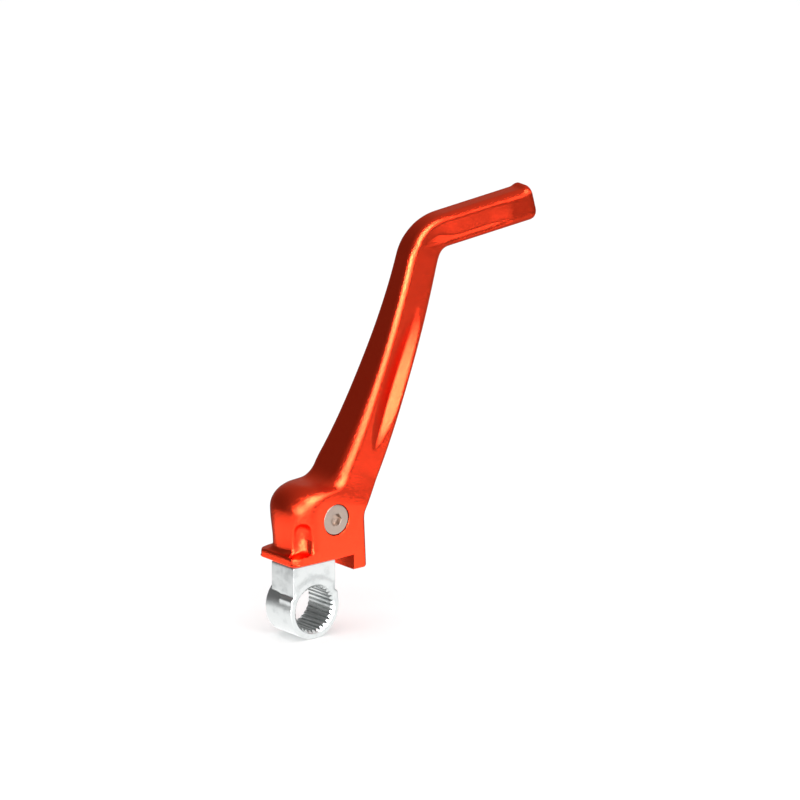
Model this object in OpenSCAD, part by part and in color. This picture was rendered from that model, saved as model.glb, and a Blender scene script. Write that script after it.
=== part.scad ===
// Folding kick start lever for a motorbike engine, millimetres.
// A forged aluminium lever turns on the pivot pin of a splined steel knuckle. A countersunk screw
// through the lever's head runs in a groove of the pin and holds the lever on, and a sprung ball in
// the knuckle clicks into the underside of the head in the folded and the open position.
// Origin: centre of the splined bore. Z runs up the shank along the fold axis, the bore runs along Y
// with its outer face at -Y, and the folded lever leans and points to +X.

/* [Knuckle hub] */
// outer radius of the hub ring
hub_r = 16; // [15:0.1:22]
// width of the hub along the bore
hub_width = 21.4; // [18:0.1:26]
// radius to the bottom of the spline grooves
spline_root_r = 12.6; // [10:0.1:13]
// radius to the tips of the spline teeth
spline_tip_r = 11.5; // [9:0.1:12]
// number of spline teeth
spline_count = 30; // [20:1:36]
// share of the tooth pitch taken by a groove at the tips
spline_groove_share = 0.56; // [0.4:0.01:0.65]
// width of a groove's floor as a share of its width at the tips
spline_floor_share = 0.22; // [0.1:0.01:0.4]
// chamfer at both mouths of the bore
bore_chamfer = 0.6; // [0.3:0.1:1]
// rounding of the hub's outer rims
hub_rim = 0.9; // [0.3:0.1:1.5]

/* [Knuckle shank and pivot] */
// half width of the shank, along X
shank_half = 13.9; // [13.5:0.1:15]
// distance from the fold axis to the shank's front face
shank_front = 10.3; // [9:0.1:10.5]
// distance from the fold axis to the shank's back face
shank_back = 8; // [7.9:0.1:10]
// height of the shank's top above the bore centre
shank_top = 24.7; // [24:0.1:30]
// chamfer on the shank's upright corners
shank_corner = 0.8; // [0.3:0.1:1.5]
// fillet where the shank meets the hub
shank_fillet = 3; // [1.5:0.1:4]
// height of the land that the lever turns on, above the shank's top
land_height = 1.45; // [1:0.05:2.5]
// how far the land stays back from the shank's sides
land_inset = 0.4; // [0.3:0.1:0.8]
// radius of the pivot pin
pin_r = 7.5; // [6.5:0.1:8]
// length of the pivot pin above the land
pin_length = 28.9; // [27:0.1:30]
// chamfer on the pin's top
pin_chamfer = 1; // [0.5:0.1:1.5]
// running clearance between pin and lever, on the radius
pin_fit = 0.05; // [0.02:0.01:0.1]
// clearance between the land and the underside of the lever
land_gap = 0.05; // [0.02:0.01:0.3]

/* [Detent and seal] */
// radius of the detent ball
ball_r = 2.25; // [1.75:0.05:2.5]
// distance of the ball from the fold axis
ball_offset = 10.5; // [10.4:0.1:10.8]
// depth that the ball drops into the lever
dimple_depth = 0.7; // [0.4:0.05:0.9]
// angle of a dimple's drill point
dimple_angle = 118; // [90:1:140]
// clearance round the ball, in its hole and in its dimple
ball_fit = 0.05; // [0.02:0.01:0.1]
// length of the detent spring with the ball up in its dimple
spring_length = 8.6; // [6:0.1:9]
// wire radius of the detent spring
spring_wire_r = 0.3; // [0.2:0.05:0.4]
// turns of the detent spring
spring_turns = 6; // [4:1:8]
// gap between the spring and what it rests on
spring_gap = 0.05; // [0.02:0.01:0.2]
// section radius of the seal ring
seal_r = 0.8; // [0.6:0.05:1]
// height of the seal ring above the land
seal_height = 4.5; // [3:0.1:7]
// clearance of the seal ring in its groove and in the lever
seal_fit = 0.08; // [0.03:0.01:0.1]

/* [Retaining screw] */
// radius of the screw's shank
screw_r = 4; // [3:0.1:5]
// radius of the countersunk head
screw_head_r = 8; // [6:0.1:9]
// height of the straight rim of the head
screw_rim = 0.5; // [0.3:0.1:1]
// length of the screw, head included
screw_length = 26; // [22:0.5:27]
// chamfer on the screw's tip
screw_tip = 0.8; // [0.4:0.1:1.2]
// width across the flats of the hex socket
screw_hex = 5; // [4:0.5:6]
// depth of the hex socket
screw_hex_depth = 3; // [2:0.1:3.5]
// depth of the head below the face of the lever
screw_sink = 0.5; // [0.2:0.1:1]
// clearance round the screw's shank
screw_fit = 0.05; // [0.02:0.01:0.1]
// clearance round the screw's head
screw_head_gap = 0.3; // [0.1:0.05:0.5]
// how far the screw's shank reaches into the pin's groove
screw_bite = 0.9; // [0.6:0.1:1.2]
// height of the screw above the underside of the lever
screw_height = 21.1; // [20:0.1:23]
// clearance between the screw and the walls of the pin's groove
groove_gap = 0.2; // [0.1:0.05:0.4]

/* [Lever head] */
// half thickness of the head between its flat faces
head_half = 15.5; // [14:0.1:18]
// radius of the domed end of the head
dome_r = 16.7; // [14:0.1:18]
// radius of the domed end just above the base flange
dome_foot_r = 15; // [14:0.1:17]
// height of that narrowest place above the flange's top
dome_foot_rise = 3.6; // [2:0.1:5]
// height where the dome begins to round over
dome_wall_top = 54; // [53:0.1:56]
// height of the dome's crown
dome_crown = 65.4; // [64:0.1:68]
// distance from the fold axis back to the start of the flat crown
crown_start = -2; // [-4:0.1:0]
// radius between the crown and the outer edge of the arm
saddle_r = 13; // [10:0.5:16]
// distance from the fold axis to the inner edge of the head
head_edge = 29.6; // [28:0.1:32]
// radius between the head and the inner edge of the arm
shoulder_r = 10; // [6:0.5:14]
// rounding of the inner edges of the head
head_edge_r = 2.6; // [2:0.1:4]
// distance from the fold axis to the outer edge of the base flange
flange_reach = 17.5; // [17:0.1:19]
// thickness of the base flange
flange_height = 3.9; // [3:0.1:5]
// radius of the flange's two lobes
lobe_r = 4.7; // [4:0.1:6]
// half width of the flat left along the parting line
parting_half = 0.4; // [0.2:0.1:0.8]
// rounding round the underside
base_round = 0.8; // [0.4:0.1:1.2]
// radius of the pocket above each lobe
pocket_r = 5.8; // [5:0.1:6.2]
// distance from the fold axis to the middle of a pocket
pocket_offset = 16.1; // [15.8:0.1:17]
// angle of a pocket from the outer side of the head
pocket_angle = 53; // [48:1:58]
// height of a pocket's floor above the underside
pocket_floor = 3.5; // [3:0.1:4.5]
// height of a pocket's roof above the underside
pocket_roof = 21.8; // [18:0.1:24]
// radius of the flat spot in the middle of a pocket's floor
pocket_flat = 1; // [0.5:0.1:2]
// chamfer under a pocket's roof
pocket_chamfer = 1.6; // [1:0.1:2.5]

/* [Lever heel] */
// distance from the fold axis to the inner side of the heel
heel_start = 22; // [21:0.1:24]
// how far the heel hangs below the underside
heel_drop = 7.8; // [4:0.1:8.5]
// rounding of the heel's outer lower corner
heel_round = 2.4; // [1.5:0.1:4]

/* [Lever arm] */
// centre of the arm's foot, distance from the fold axis
foot_x = 29.2; // [26:0.1:31]
// centre of the arm's foot, height above the bore centre
foot_z = 69.8; // [68:0.1:73]
// lean of the arm at its foot, degrees from upright
lean_foot = 32.5; // [28:0.5:36]
// lean of the arm at its top, degrees from upright
lean_top = 16.2; // [12:0.1:20]
// length of the arm from foot to bend
arm_length = 112; // [90:1:140]
// width of the arm at its foot
arm_width_foot = 25; // [23:0.1:28]
// width of the arm at its top
arm_width_top = 20.9; // [18:0.1:23]
// half thickness of the arm at its foot
arm_half_foot = 13.2; // [12:0.1:14.5]
// half thickness of the arm at its top
arm_half_top = 7.3; // [6.5:0.1:9]
// rounding of the arm's edges
arm_edge_r = 3.4; // [2.5:0.1:4.5]
// rounding of the outer edges where the arm leaves the head
foot_edge_r = 4.8; // [4:0.1:7]
// distance of the flute's start from the arm's foot
flute_start = 12.5; // [8:0.5:25]
// length of the flute in each flank of the arm
flute_length = 78; // [50:1:90]
// width of the flute
flute_width = 14; // [10:0.5:16]
// depth of the flute
flute_depth = 3.4; // [2:0.1:4.5]
// shift of the flute towards the inner edge
flute_shift = 1.2; // [0:0.1:2]
// how sharply the flute's floor comes to a line
flute_sharpness = 1.2; // [1:0.05:1.5]

/* [Bend and pedal] */
// radius of the bend along the middle of the bar
bend_r = 20; // [16:0.5:24]
// direction of the pedal, degrees from upright
pedal_lean = 85.8; // [80:0.1:90]
// length of the pedal from bend to end
pedal_length = 55.5; // [40:0.5:70]
// height of the pedal's section
pedal_width = 18.1; // [15:0.1:20]
// half thickness of the pedal
pedal_half = 7; // [6:0.1:9]
// rise of the lip at the end of the pedal
lip_rise = 1.7; // [1:0.1:4]
// length over which the lip rises
lip_length = 6.5; // [5:0.5:16]
// rounding of the pedal's end in side view
end_round = 3; // [2:0.1:4]
// distance of the recess's end from the pedal's end
recess_end = 19; // [14:0.5:26]
// how far the recess runs back into the bend
recess_back = 17; // [8:0.5:20]
// depth of the recess in each face of the pedal
recess_depth = 2.2; // [1:0.1:3]
// width of the recess above its valley
recess_upper = 9; // [7:0.1:10]
// width of the recess below its valley
recess_lower = 4.6; // [3:0.1:6]
// drop of the recess's valley below the middle of the pedal
recess_drop = 3.3; // [1:0.1:3.8]
// how sharply the recess's floor comes to a line
recess_sharpness = 1.1; // [1:0.05:1.5]
// softness of the bend's start and end
bend_softness = 0.5; // [0.2:0.05:0.8]

/* [Hidden] */
circle_facets = 96;
small_facets = 48;
half_turn = 180;
quarter_turn = 90;
// what a cutting body reaches past the face that it opens
spill = 1;
hub_half = hub_width / 2;
land_top = shank_top + land_height;
under = land_top + land_gap;
heel_bottom = under - heel_drop;
flange_top = under + flange_height;
pin_top = land_top + pin_length;
screw_z = under + screw_height;
screw_x = pin_r + screw_r - screw_bite;
screw_top_y = -head_half + screw_sink;
groove_r = pin_r - screw_bite - groove_gap;
groove_half = screw_r + groove_gap;
spline_pitch = 2 * half_turn / spline_count;
groove_half_angle = spline_pitch * spline_groove_share / 2;
ball_hole_r = ball_r + ball_fit;
// the ball is drawn pressed down, as it is while the lever turns, and rises by the dimple's depth
ball_z = under - ball_r - ball_fit;
ball_up_z = ball_z + dimple_depth;
dimple_tip = ball_up_z + ball_hole_r / sin(dimple_angle / 2);
dimple_r = (dimple_tip - under) * tan(dimple_angle / 2);
spring_top = ball_z - ball_r - spring_gap;
spring_drawn = spring_length - dimple_depth;
spring_seat = spring_top - spring_drawn - spring_gap;
spring_mean_r = ball_hole_r - spring_wire_r - spring_gap;
seal_z = land_top + seal_height;
seal_mean_r = pin_r + pin_fit - seal_r - seal_fit;
seal_groove_r = seal_mean_r - seal_r - seal_fit;
seal_groove_half = seal_r + seal_fit;
screw_cone = screw_head_r - screw_r;

// helpers for the loft of the lever
function mix(a, b, t) = a + (b - a) * t;
function clamp01(t) = min(1, max(0, t));
function ease(t) = let (c = clamp01(t)) c * c * (3 - 2 * c);
function along(angle) = [sin(angle), cos(angle)];
function across(angle) = [cos(angle), -sin(angle)];

// middle line of the bar: arm, bend and pedal, with s counted from the arm's foot
bend_turn = pedal_lean - lean_top;
bend_length = bend_r * bend_turn * PI / half_turn;
bend_start = arm_length;
pedal_start = arm_length + bend_length;
bar_end = pedal_start + pedal_length;
line_step = 1;
function lean_at(s) =
    s < bend_start ? mix(lean_foot, lean_top, s / arm_length)
    : s < pedal_start ? mix(lean_top, pedal_lean, ease_bend((s - bend_start) / bend_length))
    : pedal_lean;
// the turn starts and ends a little softer than a plain arc
function ease_bend(t) = mix(t, ease(t), bend_softness);
line_steps = ceil(bar_end / line_step);
line_points = [
    for (
        i = 0, p = [foot_x, foot_z];
        i <= line_steps;
        p = p + line_step * along(lean_at((i + 0.5) * line_step)), i = i + 1
    ) p
];
function line_at(s) =
    let (k = min(line_steps - 1, max(0, floor(s / line_step))))
    line_points[k] + (s - k * line_step) * along(lean_at(k * line_step));

// width, half thickness and edge rounding of the bar
function width_at(s) =
    s < bend_start ? mix(arm_width_foot, arm_width_top, s / arm_length)
    : mix(arm_width_top, pedal_width, ease((s - bend_start) / bend_length));
arm_taper = 1.45;
function half_at(s) =
    s < bend_start ? mix(arm_half_top, arm_half_foot, pow(1 - s / arm_length, arm_taper))
    : mix(arm_half_top, pedal_half, ease((s - bend_start) / bend_length));
edge_run = 40;
function outer_edge_r(s) = mix(foot_edge_r, arm_edge_r, ease(s / edge_run));
function inner_edge_r(s) = mix(head_edge_r, arm_edge_r, ease(s / edge_run));
function lip_at(s) = lip_rise * ease((s - bar_end + lip_length) / lip_length);

// depth of the flute and of the pedal's recess at distance s and offset u from the middle line
function spindle(t) = max(0, 1 - t * t);
function flute_at(s, u) =
    let (t = 2 * (s - flute_start) / flute_length - 1)
    let (k = spindle(t))
    k <= 0 ? 0 : let (q = abs(u - flute_shift) / (flute_width / 2 * sqrt(k)))
    q >= 1 ? 0 : flute_depth * k * pow(1 - q, flute_sharpness);
recess_from = pedal_start - recess_back;
recess_to = bar_end - recess_end;
recess_run_in = 16;
recess_run_out = 5;
recess_turn = -3;
recess_turn_run = 6;
function valley_at(s) =
    mix(recess_turn, recess_drop, ease((s - recess_from) / (recess_back + recess_turn_run)));
function recess_at(s, u) =
    let (k = sqrt(clamp01((s - recess_from) / recess_run_in)) * sqrt(clamp01((recess_to - s) / recess_run_out)))
    let (v = u - valley_at(s))
    let (q = v < 0 ? -v / recess_upper : v / recess_lower)
    q >= 1 ? 0 : recess_depth * k * pow(1 - q, recess_sharpness);

// outline of one section of the lever, as [across, thickness] pairs from the outer to the inner edge
outer_steps = 8;
face_steps = 12;
inner_steps = 3;
function face_share(j, notch) =
    notch <= 0 ? j / face_steps
    : j <= notch_column ? j / notch_column * notch
    : mix(notch, 1, (j - notch_column - 1) / (face_steps - notch_column - 1));
notch_column = 8;
function half_outline(a0, a1, b, ro_full, ri, notch = 0) =
    let (ro = min(ro_full, b - parting_half)) concat(
    [for (j = [0:outer_steps]) let (t = quarter_turn * j / outer_steps)
        [a0 + ro * (1 - cos(t)), b - ro * (1 - sin(t))]],
    [for (j = [1:face_steps - 1]) [mix(a0 + ro, a1 - ri, face_share(j, notch)), b]],
    [for (j = [0:inner_steps]) let (t = quarter_turn * (1 - j / inner_steps))
        [a1 - ri * (1 - cos(t)), b - ri * (1 - sin(t))]]
);
half_count = outer_steps + face_steps + inner_steps + 1;

// a ring closes a half outline on both sides of the parting plane
function mirror_ring(pts) = concat(
    [for (p = pts) [p[0], -p[1], p[2]]],
    [for (k = [len(pts) - 1:-1:0]) [pts[k][0], pts[k][1], pts[k][2]]]
);

// level sections of the base: underside, heel and flange
notch_share = (heel_start + flange_reach - lobe_r) / (head_edge - head_edge_r + flange_reach - lobe_r);
function base_ring(inset, rise, heel_rise, heel_inset) =
    let (h = half_outline(-flange_reach + inset, head_edge - inset, head_half - inset,
        lobe_r - inset, head_edge_r - inset, notch_share))
    mirror_ring([for (j = [0:half_count - 1])
        let (side = clamp01((j - half_count + inner_steps + 1) / inner_steps))
        let (x = j == outer_steps + notch_column || j == outer_steps + notch_column + 1 ? heel_start : h[j][0])
        j <= outer_steps + notch_column
            ? [x, h[j][1], under + rise]
            : [x - side * heel_inset, h[j][1], heel_bottom + mix(rise, heel_rise, side)]
    ]);
function level_ring(z, reach, ro, spread) =
    let (h = half_outline(-reach, head_edge, head_half, ro, head_edge_r, notch_share))
    mirror_ring([for (j = [0:half_count - 1])
        [h[j][0] + (j == outer_steps + notch_column ? -spread : 0)
            + (j == outer_steps + notch_column + 1 ? spread : 0), h[j][1], z]
    ]);
round_half = base_round * (1 - cos(half_turn / 4));
heel_half = heel_round * (1 - cos(half_turn / 4));
column_spread = 0.8;
// height along the flange's edge and share of the way in from the flange to the dome
ledge_rows = [[0, 0], [0.62, 0], [0.86, 0.12], [0.97, 0.34], [1.05, 0.72]];
dome_foot_z = flange_top + dome_foot_rise;
// the domed end widens from its foot up to where it begins to round over
function dome_reach(z) = mix(dome_foot_r, dome_r, ease((z - dome_foot_z) / (dome_wall_top - dome_foot_z)));
base_rings = concat(
    [base_ring(base_round, 0, 0, heel_round - base_round)],
    [base_ring(round_half, round_half, heel_half, heel_half - round_half)],
    [base_ring(0, base_round, heel_round, 0)],
    [for (r = ledge_rows) level_ring(
        mix(under + 2 * base_round, flange_top, r[0]),
        mix(flange_reach, dome_foot_r, r[1]), mix(lobe_r, head_half, r[1]), column_spread)],
    [level_ring(dome_foot_z, dome_foot_r, head_half, column_spread)]
);

// sloping sections of the head: the outer ends follow the dome, crown and saddle, and the inner ends
// follow the shoulder, so the sections fan out from level to square with the arm
// the sloping sections start this far below the dome, and the dome's wall is cut again below it
head_start_drop = 10;
dome_wall_drop = 5;
head_start = dome_wall_top - head_start_drop;
foot = [foot_x, foot_z];
foot_outer = foot - arm_width_foot / 2 * across(lean_foot);
foot_inner = foot + arm_width_foot / 2 * across(lean_foot);
saddle_turn = quarter_turn - lean_foot;
saddle_x = foot_outer[0] - (foot_outer[1] - dome_crown) * tan(lean_foot);
saddle_tangent = saddle_r * tan(saddle_turn / 2);
saddle_end = [saddle_x, dome_crown] + saddle_tangent * along(lean_foot);
shoulder_z = foot_inner[1] - (foot_inner[0] - head_edge) / tan(lean_foot);
shoulder_tangent = shoulder_r * tan(lean_foot / 2);
shoulder_end = [head_edge, shoulder_z] + shoulder_tangent * along(lean_foot);
dome_steps = 8;
saddle_steps = 5;
outer_path = concat(
    [for (z = [head_start, dome_wall_top - dome_wall_drop]) [-dome_reach(z), z]],
    [for (i = [0:dome_steps]) let (t = quarter_turn * i / dome_steps)
        [crown_start - (dome_r + crown_start) * cos(t), dome_wall_top + (dome_crown - dome_wall_top) * sin(t)]],
    [for (i = [0:saddle_steps]) let (t = saddle_turn * i / saddle_steps)
        [saddle_x - saddle_tangent + saddle_r * sin(t), dome_crown + saddle_r * (1 - cos(t))]],
    [foot_outer]
);
shoulder_steps = 4;
inner_path = concat(
    [[head_edge, head_start]],
    [for (i = [0:shoulder_steps]) let (t = lean_foot * i / shoulder_steps)
        [head_edge + shoulder_r * (1 - cos(t)), shoulder_z - shoulder_tangent + shoulder_r * sin(t)]],
    [foot_inner]
);
function path_lengths(p) = [for (i = 0, d = 0; i < len(p);
    d = d + (i + 1 < len(p) ? norm(p[i + 1] - p[i]) : 0), i = i + 1) d];
outer_lengths = path_lengths(outer_path);
inner_lengths = path_lengths(inner_path);
function path_at(p, d, q) =
    let (k = max([for (i = [0:len(d) - 2]) if (d[i] <= q) i]))
    mix(p[k], p[k + 1], (q - d[k]) / (d[k + 1] - d[k]));
inner_total = inner_lengths[len(inner_lengths) - 1];
outer_total = outer_lengths[len(outer_lengths) - 1];
blend_from = 0.34;
head_taper = 1.4;
notch_fade = 8;
function head_ring(k) =
    let (f = outer_lengths[k] / outer_total)
    let (o = outer_path[k])
    let (i = path_at(inner_path, inner_lengths, f * inner_total))
    let (w = norm(i - o))
    let (e = ease((f - blend_from) / (1 - blend_from)))
    let (b = mix(head_half, arm_half_foot, pow(clamp01((f - blend_from) / (1 - blend_from)), head_taper)))
    section_ring(o, i, w, b, mix(head_half, foot_edge_r, e), head_edge_r, -1);
function section_ring(o, i, w, b, ro, ri, s) =
    let (notch = s < 0 ? notch_share * (1 - clamp01((o[1] - head_start) / notch_fade)) : 0)
    let (h = half_outline(0, w, b, ro, ri, notch))
    mirror_ring([for (p = h)
        let (q = mix(o, i, p[0] / w))
        let (d = s < 0 ? 0 : flute_at(s, p[0] - w / 2) + recess_at(s, p[0] - w / 2))
        [q[0], p[1] - (p[1] > b - ro / 2 && p[1] > b - ri / 2 ? d : 0), q[1]]
    ]);
head_rings = [for (k = [0:len(outer_path) - 2]) head_ring(k)];

// square sections of the arm, bend and pedal
arm_sections = 17;
bend_sections = 11;
pedal_sections = 8;
lip_sections = 3;
function bar_ring(s, inset = 0, thin = 0) =
    let (c = line_at(s), n = across(lean_at(s)), w = width_at(s))
    let (o = c - (w / 2 + lip_at(s) - inset) * n)
    let (i = c + (w / 2 - inset) * n)
    section_ring(o, i, norm(i - o), half_at(s) - thin, outer_edge_r(s) - thin, inner_edge_r(s) - thin, s);
end_steps = 3;
// the end face is a little thinner than the pedal
end_thin = 0.8;
bar_rings = concat(
    [for (k = [0:arm_sections - 1]) bar_ring(arm_length * k / arm_sections)],
    [for (k = [0:bend_sections - 1]) bar_ring(bend_start + bend_length * k / bend_sections)],
    [for (k = [0:pedal_sections - 1])
        bar_ring(mix(pedal_start, bar_end - lip_length, k / pedal_sections))],
    [for (k = [0:lip_sections - 1])
        bar_ring(mix(bar_end - lip_length, bar_end - end_round, k / lip_sections))],
    [for (k = [0:end_steps]) let (t = quarter_turn * k / end_steps)
        bar_ring(bar_end - end_round * (1 - sin(t)), end_round * (1 - cos(t)), end_thin * (1 - cos(t)))]
);
lever_rings = concat(base_rings, head_rings, bar_rings);
ring_count = len(lever_rings);
ring_size = 2 * half_count;

module lever_body() {
    points = [for (r = lever_rings) each r];
    last = (ring_count - 1) * ring_size;
    sides = [for (r = [0:ring_count - 2]) for (j = [0:ring_size - 1])
        let (a = r * ring_size + j, b = r * ring_size + (j + 1) % ring_size)
        [a, a + ring_size, b + ring_size, b]];
    foot_cap = [for (j = [0:half_count - 2])
        [j, j + 1, ring_size - 2 - j, ring_size - 1 - j]];
    end_cap = [for (j = [0:half_count - 2])
        [last + ring_size - 1 - j, last + ring_size - 2 - j, last + j + 1, last + j]];
    polyhedron(points = points, faces = concat(sides, foot_cap, end_cap), convexity = 6);
}

// one scooped pocket: bowl floor with a small flat spot, upright wall, chamfered roof
module pocket() {
    floor_z = under + pocket_floor;
    roof = under + pocket_roof;
    bowl_r = pocket_r - pocket_flat;
    translate([0, 0, floor_z]) rotate_extrude($fn = circle_facets) {
        translate([pocket_flat, bowl_r]) intersection() {
            circle(r = bowl_r, $fn = circle_facets);
            translate([0, -bowl_r]) square(bowl_r);
        }
        square([pocket_flat, bowl_r]);
    }
    translate([0, 0, floor_z + bowl_r])
        cylinder(r = pocket_r, h = roof - pocket_chamfer - floor_z - bowl_r, $fn = circle_facets);
    translate([0, 0, roof - pocket_chamfer])
        cylinder(r1 = pocket_r, r2 = pocket_r - pocket_chamfer, h = pocket_chamfer, $fn = circle_facets);
}

// the screw's seat: head recess, cone and hole, along +Y from the front face
module screw_seat() {
    gap = screw_head_gap;
    cone_start = screw_top_y + screw_rim;
    translate([screw_x, 0, screw_z]) rotate([-quarter_turn, 0, 0]) {
        translate([0, 0, -head_half - spill])
            cylinder(r = screw_head_r + gap, h = cone_start + head_half + spill + gap, $fn = circle_facets);
        translate([0, 0, cone_start + gap])
            cylinder(r1 = screw_head_r + gap, r2 = screw_r + gap, h = screw_cone, $fn = circle_facets);
        translate([0, 0, cone_start])
            cylinder(r = screw_r + screw_fit, h = screw_length, $fn = small_facets);
    }
}

module lever() {
    color([0.86, 0.25, 0.12]) difference() {
        lever_body();
        for (side = [-1, 1])
            translate([-pocket_offset * cos(pocket_angle), side * pocket_offset * sin(pocket_angle), 0])
                pocket();
        translate([0, 0, under - spill])
            cylinder(r = pin_r + pin_fit, h = pin_top + land_height - under + spill, $fn = circle_facets);
        screw_seat();
        for (turn = [half_turn, -quarter_turn])
            rotate([0, 0, turn]) translate([ball_offset, 0, under - dimple_r / tan(dimple_angle / 2)])
                cylinder(r1 = 2 * dimple_r, r2 = 0, h = 2 * dimple_r / tan(dimple_angle / 2), $fn = small_facets);
    }
}

// hub, shank and their fillets in front view
module knuckle_outline() {
    drop = sqrt(pow(hub_r + shank_fillet, 2) - pow(shank_half + shank_fillet, 2));
    difference() {
        union() {
            translate([-shank_half, 0]) square([2 * shank_half, shank_top]);
            for (side = [-1, 1])
                polygon([[0, 0], [side * shank_half, drop],
                    [side * (shank_half + shank_fillet) * hub_r / (hub_r + shank_fillet),
                        drop * hub_r / (hub_r + shank_fillet)]]);
        }
        for (side = [-1, 1])
            translate([side * (shank_half + shank_fillet), drop]) circle(r = shank_fillet, $fn = small_facets);
    }
}

// the ring of the hub, with rounded rims
module hub_ring() {
    rotate([quarter_turn, 0, 0]) rotate_extrude($fn = circle_facets) {
        translate([0, -hub_half]) square([hub_r - hub_rim, hub_width]);
        translate([0, -hub_half + hub_rim]) square([hub_r, hub_width - 2 * hub_rim]);
        for (side = [-1, 1])
            translate([hub_r - hub_rim, side * (hub_half - hub_rim)]) circle(r = hub_rim, $fn = small_facets);
    }
}

module spline_bore() {
    tip_half = spline_tip_r * tan(groove_half_angle);
    floor_half = tip_half * spline_floor_share;
    mouth_half = tip_half + (tip_half - floor_half) / (spline_root_r - spline_tip_r) * spill;
    rotate([quarter_turn, 0, 0]) {
        translate([0, 0, -hub_half - spill])
            cylinder(r = spline_tip_r, h = hub_width + 2 * spill, $fn = circle_facets);
        for (k = [0:spline_count - 1]) rotate([0, 0, k * spline_pitch])
            translate([0, 0, -hub_half - spill]) linear_extrude(hub_width + 2 * spill)
                polygon([
                    [spline_tip_r - spill, -mouth_half],
                    [spline_root_r, -floor_half],
                    [spline_root_r, floor_half],
                    [spline_tip_r - spill, mouth_half]
                ]);
        for (side = [0, half_turn]) rotate([side, 0, 0])
            translate([0, 0, hub_half - spline_root_r - bore_chamfer + spline_tip_r])
                cylinder(r1 = spline_tip_r, r2 = spline_root_r + bore_chamfer + spill,
                    h = spline_root_r + bore_chamfer + spill - spline_tip_r, $fn = circle_facets);
    }
}

module knuckle() {
    land_half = shank_half - land_inset;
    color([0.78, 0.8, 0.8]) difference() {
        union() {
            hub_ring();
            intersection() {
                rotate([quarter_turn, 0, 0]) translate([0, 0, -shank_back])
                    linear_extrude(shank_front + shank_back) knuckle_outline();
                linear_extrude(shank_top) shank_box(hub_r + shank_fillet, 0);
            }
            translate([0, 0, shank_top - spill]) linear_extrude(land_height + spill)
                shank_box(land_half, land_inset);
            cylinder(r = pin_r, h = pin_top - pin_chamfer, $fn = circle_facets);
            translate([0, 0, pin_top - pin_chamfer])
                cylinder(r1 = pin_r, r2 = pin_r - pin_chamfer, h = pin_chamfer, $fn = circle_facets);
        }
        spline_bore();
        // the groove that the retaining screw runs in
        translate([0, 0, screw_z - groove_half]) difference() {
            cylinder(r = pin_r + spill, h = 2 * groove_half, $fn = circle_facets);
            translate([0, 0, -spill]) cylinder(r = groove_r, h = 2 * (groove_half + spill), $fn = circle_facets);
        }
        // the groove of the seal ring
        translate([0, 0, seal_z - seal_groove_half]) difference() {
            cylinder(r = pin_r + spill, h = 2 * seal_groove_half, $fn = circle_facets);
            translate([0, 0, -spill])
                cylinder(r = seal_groove_r, h = 2 * (seal_groove_half + spill), $fn = circle_facets);
        }
        // the blind hole of ball and spring
        translate([-ball_offset, 0, spring_seat])
            cylinder(r = ball_hole_r, h = land_top - spring_seat + spill, $fn = small_facets);
    }
}

// the shank's outline from above, with half width a, its front and back faces moved in by inset
module shank_box(a, inset) {
    translate([0, (shank_back - shank_front) / 2])
        offset_box(a, (shank_front + shank_back) / 2 - inset, shank_corner);
}

// a rectangle with chamfered corners, half sizes a and b
module offset_box(a, b, c) {
    polygon([[-a + c, -b], [a - c, -b], [a, -b + c], [a, b - c],
        [a - c, b], [-a + c, b], [-a, b - c], [-a, -b + c]]);
}

module retaining_screw() {
    socket_r = screw_hex / 2 / cos(half_turn / 6);
    color([0.74, 0.7, 0.65]) translate([screw_x, 0, screw_z]) rotate([-quarter_turn, 0, 0])
        translate([0, 0, screw_top_y]) difference() {
            union() {
                cylinder(r = screw_head_r, h = screw_rim, $fn = circle_facets);
                translate([0, 0, screw_rim])
                    cylinder(r1 = screw_head_r, r2 = screw_r, h = screw_cone, $fn = circle_facets);
                cylinder(r = screw_r, h = screw_length - screw_tip, $fn = small_facets);
                translate([0, 0, screw_length - screw_tip])
                    cylinder(r1 = screw_r, r2 = screw_r - screw_tip, h = screw_tip, $fn = small_facets);
            }
            translate([0, 0, -spill])
                cylinder(r = socket_r, h = screw_hex_depth + spill, $fn = 6);
        }
}

module detent_ball() {
    color([0.7, 0.72, 0.75]) translate([-ball_offset, 0, ball_z]) sphere(r = ball_r, $fn = small_facets);
}

// round wire wound along a helix, with closed ends
module detent_spring() {
    around = 14;
    wire = 6;
    count = around * spring_turns;
    rise = spring_drawn - 2 * spring_wire_r;
    rings = [for (k = [0:count])
        let (a = 2 * half_turn * k / around)
        let (z = spring_seat + spring_gap + spring_wire_r + rise * k / count)
        [for (j = [0:wire - 1]) let (t = 2 * half_turn * j / wire)
            let (r = spring_mean_r + spring_wire_r * cos(t))
            [r * cos(a) - ball_offset, r * sin(a), z + spring_wire_r * sin(t)]]];
    points = [for (r = rings) each r];
    sides = [for (k = [0:count - 1]) for (j = [0:wire - 1])
        let (a = k * wire + j, b = k * wire + (j + 1) % wire)
        [a, a + wire, b + wire, b]];
    color([0.45, 0.46, 0.48])
        polyhedron(points = points, faces = concat(sides,
            [[for (j = [0:wire - 1]) j]], [[for (j = [wire - 1:-1:0]) count * wire + j]]), convexity = 8);
}

module seal_ring() {
    color([0.08, 0.08, 0.09]) translate([0, 0, seal_z])
        rotate_extrude($fn = circle_facets) translate([seal_mean_r, 0]) circle(r = seal_r, $fn = small_facets);
}

lever();
knuckle();
retaining_screw();
detent_ball();
detent_spring();
seal_ring();
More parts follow.
